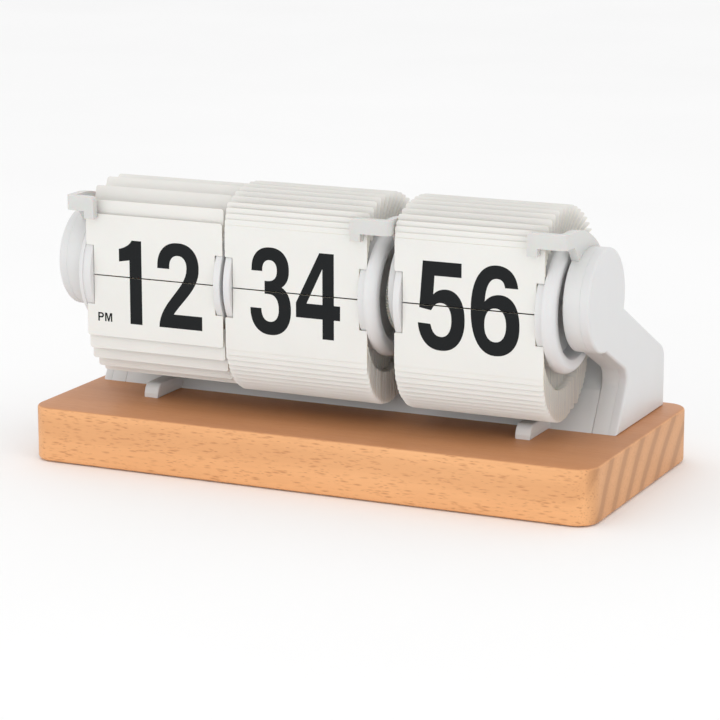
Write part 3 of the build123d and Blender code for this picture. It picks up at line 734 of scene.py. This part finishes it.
for order, (unit, count, phase, left) in enumerate(drums):
    fan_end, rear_end = round(count * 0.42), round(count * 0.70)
    for group, first, last, body, loose, seed in (
        ("front_upper_flap", 0, 0, "clock_body", 0, 0),
        ("flap_fan", 1, fan_end, "clock_body", 1, 11 + order),
        ("rear_flaps", fan_end + 1, rear_end, "clock_body", 1, 21 + order),
        ("hanging_flaps", rear_end + 1, count - 2, "clock_body", 1, 31 + order),
        ("front_lower_flap", count - 1, count - 1, unit + "_front_flap", 0, 0),
    ):
        save_flaps(f"{unit}_{group}", left, count, phase, first, last, body, loose, seed)

# ---- Printed numbers ---------------------------------------------------------------------
# Charcoal ink, screen printed in a heavy narrow grotesque, each numeral split by the line
# between the two flaps. The backs and the next flaps carry the number that came before.
ink = pebbled("charcoal_ink", (0.007, 0.0085, 0.0095), 0.7, 0.12, 0.003, 0.08,
              Specular_IOR_Level=0.22)
ink_thickness = 0.03


def bend(start, pull_start, pull_end, end, steps=16):
    """Cubic curve: the sum of its four points weighted by (1-t)^3, 3t(1-t)^2, 3t^2(1-t), t^3."""
    t = np.linspace(0, 1, steps)[:, None]
    weights = np.concatenate([(1 - t) ** 3, 3 * t * (1 - t) ** 2, 3 * t * t * (1 - t), t**3], 1)
    return weights @ np.array([start, pull_start, pull_end, end], float)


def bowl(x, z, wide, tall, start, end, fullness=2.25, steps=36):
    """Stretch of a superellipse from one angle to another, in degrees: |x/wide|^n + |z/tall|^n = 1."""
    turn = np.radians(np.linspace(start, end, steps))
    c, s = np.cos(turn), np.sin(turn)
    power = 2 / fullness
    across, up = np.sign(c) * np.abs(c) ** power, np.sign(s) * np.abs(s) ** power
    return np.stack([x + wide * across, z + tall * up], 1)


def numeral(character):
    """Outline and counters of a numeral on a 42.3 mm body, from its lower left corner, in millimetres."""
    if character == "1":
        flag = bend((0, 37.6), (3.4, 38.4), (6.4, 40.2), (7.3, 42.3), 10)
        return [np.concatenate([[(5.9, 32.2), (0, 31.2)], flag, [(12.7, 42.3), (12.7, 0), (5.9, 0)]])]
    if character == "2":
        back = bend((23.1, 30.6), (23.1, 21.0), (14.2, 14.6), (8.9, 7.0))
        front = bend((0.7, 0), (0.8, 12.5), (16.4, 20.5), (16.3, 30.6))
        return [np.concatenate([[(0, 29.7)], bowl(11.55, 30.6, 11.55, 12.4, 180, 0), back[1:],
                                [(24.7, 7.0), (24.7, 0)], front, bowl(11.5, 30.6, 4.8, 6.0, 0, 180)[1:],
                                [(6.7, 29.7)]])]
    if character == "3":
        return [np.concatenate([
            [(0.8, 31.0)], bowl(11.0, 32.0, 10.1, 11.0, 180, 0),
            bend((21.1, 32.0), (21.1, 27.5), (19.4, 25.2), (17.2, 23.7), 8)[1:],
            bend((17.2, 23.7), (20.4, 21.9), (22.1, 18.2), (22.1, 12.6), 10)[1:],
            bowl(11.1, 12.6, 11.0, 13.0, 0, -180)[1:], [(6.1, 12.6)],
            bowl(10.8, 12.6, 4.7, 6.4, 180, 360),
            bend((15.5, 12.6), (15.5, 17.6), (13.4, 19.9), (10.0, 19.9), 10)[1:],
            [(7.9, 19.9), (7.9, 26.3), (9.6, 26.3)],
            bend((9.6, 26.3), (12.8, 26.3), (14.6, 28.2), (14.6, 31.6), 8)[1:],
            bowl(10.65, 31.6, 3.95, 5.1, 0, 180)[1:], [(6.7, 31.0)]])]
    if character == "4":
        edge = [(0, 9.8), (0, 17.0), (12.6, 42.3), (20.3, 42.3), (20.3, 17.0), (23.6, 17.0), (23.6, 9.8),
                (20.3, 9.8), (20.3, 0), (14.2, 0), (14.2, 9.8)]
        return [np.array(edge, float), np.array([(14.2, 17.0), (5.7, 17.0), (14.2, 34.6)], float)]
    if character == "5":
        return [np.concatenate([
            [(2.5, 42.3), (22.4, 42.3), (22.4, 35.4), (8.6, 35.4), (8.0, 26.4)],
            bend((8.0, 26.4), (9.8, 28.4), (12.2, 29.2), (14.6, 29.2), 8)[1:],
            bend((14.6, 29.2), (20.4, 29.2), (24.2, 24.0), (24.2, 14.9), 12)[1:],
            bowl(12.1, 14.9, 12.1, 15.5, 0, -172)[1:], [(6.6, 12.0)],
            bowl(12.0, 14.3, 5.4, 8.2, 196, 492)[1:], [(6.9, 18.6), (0.8, 19.6)]])]
    return [np.concatenate([
        [(23.9, 32.4)], bend((23.9, 32.4), (23.2, 39.0), (19.2, 42.9), (13.0, 42.9), 12),
        bend((13.0, 42.9), (4.8, 42.9), (0, 34.6), (0, 21.0), 16)[1:],
        bend((0, 21.0), (0, 7.6), (4.6, -0.6), (12.5, -0.6), 14)[1:],
        bowl(12.5, 14.0, 12.3, 14.6, -90, 0, steps=18)[1:],
        bend((24.8, 14.0), (24.8, 23.4), (21.0, 28.9), (14.9, 28.9), 14)[1:],
        bend((14.9, 28.9), (11.6, 28.9), (8.9, 27.6), (7.1, 25.2), 8)[1:],
        bend((7.1, 25.2), (7.5, 32.2), (9.4, 36.5), (13.1, 36.5), 12)[1:],
        bend((13.1, 36.5), (15.8, 36.5), (16.9, 34.9), (17.3, 32.4), 8)[1:]]),
        bowl(12.5, 14.2, 5.5, 8.1, 0, 350)]


def letter_p():
    """Outline and counter of a small P, 4.4 mm tall."""
    outer = np.concatenate([[(0, 0), (0, 4.4), (1.9, 4.4)], bowl(1.9, 3.05, 1.35, 1.35, 90, -90, steps=10),
                            [(0.85, 1.7), (0.85, 0)]])
    counter = bowl(1.75, 3.05, 0.65, 0.6, 90, -90, steps=8)
    return [outer, np.concatenate([[(0.85, 2.45), (0.85, 3.65)], counter])]


def letter_m():
    """Outline of a small M, 4.4 mm tall."""
    return [np.array([(0, 0), (0, 4.4), (1.2, 4.4), (2.05, 1.5), (2.9, 4.4), (4.1, 4.4), (4.1, 0), (3.3, 0),
                      (3.3, 3.3), (2.4, 0), (1.7, 0), (0.8, 3.3), (0.8, 0)], float)]


def printed(name, shapes, line, half, body, pin, turned_over=False):
    """Ink on the flap hung at a pin: outlines at (x, z) filled, cut at the line, on the flap's front.

    half is 1 above the line and -1 below; turned over about the pin, the ink is on the back.
    """
    flat = bmesh.new()
    for outlines, x, z in shapes:
        loops = [[Vector((u + x, 0, v + z)) for u, v in outline] for outline in outlines]
        corners = [flat.verts.new(corner) for loop in loops for corner in loop]
        for triangle in tessellate_polygon([[(p.x, p.z, 0) for p in loop] for loop in loops]):
            if len({tuple(corners[i].co) for i in triangle}) == 3:
                flat.faces.new([corners[i] for i in triangle])
    bmesh.ops.remove_doubles(flat, verts=flat.verts, dist=1e-4)
    bmesh.ops.bisect_plane(flat, geom=flat.verts[:] + flat.edges[:] + flat.faces[:], plane_co=(0, 0, line),
                           plane_no=(0, 0, half), clear_inner=True)
    mesh = bpy.data.meshes.new(name)
    flat.to_mesh(mesh)
    flat.free()
    points = np.empty(len(mesh.vertices) * 3)
    mesh.vertices.foreach_get("co", points)
    points = points.reshape(-1, 3)
    faces = [list(face.vertices) for face in mesh.polygons]
    bpy.data.meshes.remove(mesh)
    points[:, 1] = pin[1] - flap_thickness / 2 - 0.006 - ink_thickness / 2
    if turned_over:
        points[:, 1] = 2 * pin[1] - points[:, 1]
        points[:, 2] = 2 * pin[2] - points[:, 2]
    print_ink = new_piece(name, points, faces, ink, body, "flap_sheet", smooth=False)
    layer = print_ink.modifiers.new("ink_thickness", "SOLIDIFY")
    layer.thickness = ink_thickness * MM
    layer.offset = 0.0
    return print_ink


pins_of = {}
for unit, count, phase, left in drums:
    pins_of[unit] = flap_places(phase + (np.array([0, count - 1, count - 2]) + 0.5) * 360 / count)[0]

faces_of = {
    "hour": (70.0, "1", -109.5, "2", -87.9, "1", -105.5, "1", -84.0),
    "minute": (72.0, "3", -36.5, "4", -11.7, "3", -36.5, "3", -11.0),
    "second": (72.9, "5", 52.6, "6", 79.8, "5", 52.6, "5", 80.0),
}
for unit, layout in faces_of.items():
    foot, first, first_x, second, second_x, old_first, old_first_x, old_second, old_second_x = layout
    upper_pin, lower_pin, next_pin = pins_of[unit]
    line = (upper_pin[2] + lower_pin[2]) / 2
    now = [(numeral(first), first_x, foot), (numeral(second), second_x, foot)]
    before = [(numeral(old_first), old_first_x, foot), (numeral(old_second), old_second_x, foot)]
    above, below = line + line_gap / 2, line - line_gap / 2
    leaf_body = unit + "_front_flap"
    printed(f"{unit}_number_upper_half", now, above, 1, "clock_body", upper_pin)
    lower = now + ([(letter_p(), -122.0, 70.1), (letter_m(), -118.1, 70.1)] if unit == "hour" else [])
    printed(f"{unit}_number_lower_half", lower, below, -1, leaf_body, lower_pin)
    printed(f"{unit}_number_before_upper_half", before, above, 1, leaf_body, lower_pin, turned_over=True)
    printed(f"{unit}_number_before_lower_half", before, below, -1, "clock_body", next_pin)

# ---- Floor, light and camera -------------------------------------------------------------
# A pale table in white air, soft lights overhead, low at the front left and at the right, and
# the view that a person at a desk would have, a little from the right and above.
scene = bpy.context.scene
scene.view_settings.view_transform = "Standard"
scene.view_settings.look = "None"

floor_mesh = bpy.data.meshes.new("pale_floor")
reach = 6.0
floor_mesh.from_pydata([(-reach, -reach, 0), (reach, -reach, 0), (reach, reach, 0), (-reach, reach, 0)], [],
                       [(0, 1, 2, 3)])
floor = bpy.data.objects.new("pale_floor", floor_mesh)
scene.collection.objects.link(floor)
paper = Finish("pale_floor", (0.93, 0.93, 0.93), 0.9)
paper_cloud = paper.noise(paper.spread((3, 3, 3)), 1.0, 2.0)
paper.colour(paper.ramp(paper_cloud, (0.3, 0.92), (0.7, 0.94)))
floor_mesh.materials.append(paper.material)
floor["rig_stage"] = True

world = bpy.data.worlds.new("studio_air")
world.use_nodes = True
world.node_tree.nodes["Background"].inputs["Color"].default_value = (1, 1, 1, 1)
world.node_tree.nodes["Background"].inputs["Strength"].default_value = 1.0
scene.world = world


def soft_light(name, place, aim, width, height, watts):
    """Rectangular soft box at a place, facing a point, metres and watts."""
    data = bpy.data.lights.new(name, "AREA")
    data.shape = "RECTANGLE"
    data.size, data.size_y, data.energy = width, height, watts
    lamp = bpy.data.objects.new(name, data)
    lamp.location = place
    lamp.rotation_euler = (Vector(aim) - Vector(place)).to_track_quat("-Z", "Y").to_euler()
    scene.collection.objects.link(lamp)


soft_light("overhead_soft_box", (-0.1, -0.2, 1.5), (0, 0, 0.05), 1.8, 1.4, 1.2)
soft_light("front_left_soft_box", (-0.6, -1.5, 0.32), (0, 0, 0.06), 1.4, 0.6, 2.6)
soft_light("right_soft_box", (1.2, -0.9, 0.35), (0.05, 0, 0.07), 1.0, 0.8, 2.0)

distance, azimuth, elevation = 1.4412, math.radians(24.78), math.radians(12.96)
target = Vector((-0.0002, 0, 0.0513))
back = Vector((math.sin(azimuth) * math.cos(elevation), -math.cos(azimuth) * math.cos(elevation),
               math.sin(elevation)))
lens = bpy.data.cameras.new("desk_view")
lens.sensor_width = 36
lens.lens = 144.05
camera = bpy.data.objects.new("desk_view", lens)
camera.location = target + back * distance
camera.rotation_mode = "QUATERNION"
camera.rotation_quaternion = (-back).to_track_quat("-Z", "Y")
scene.collection.objects.link(camera)
scene.camera = camera

low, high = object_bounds()
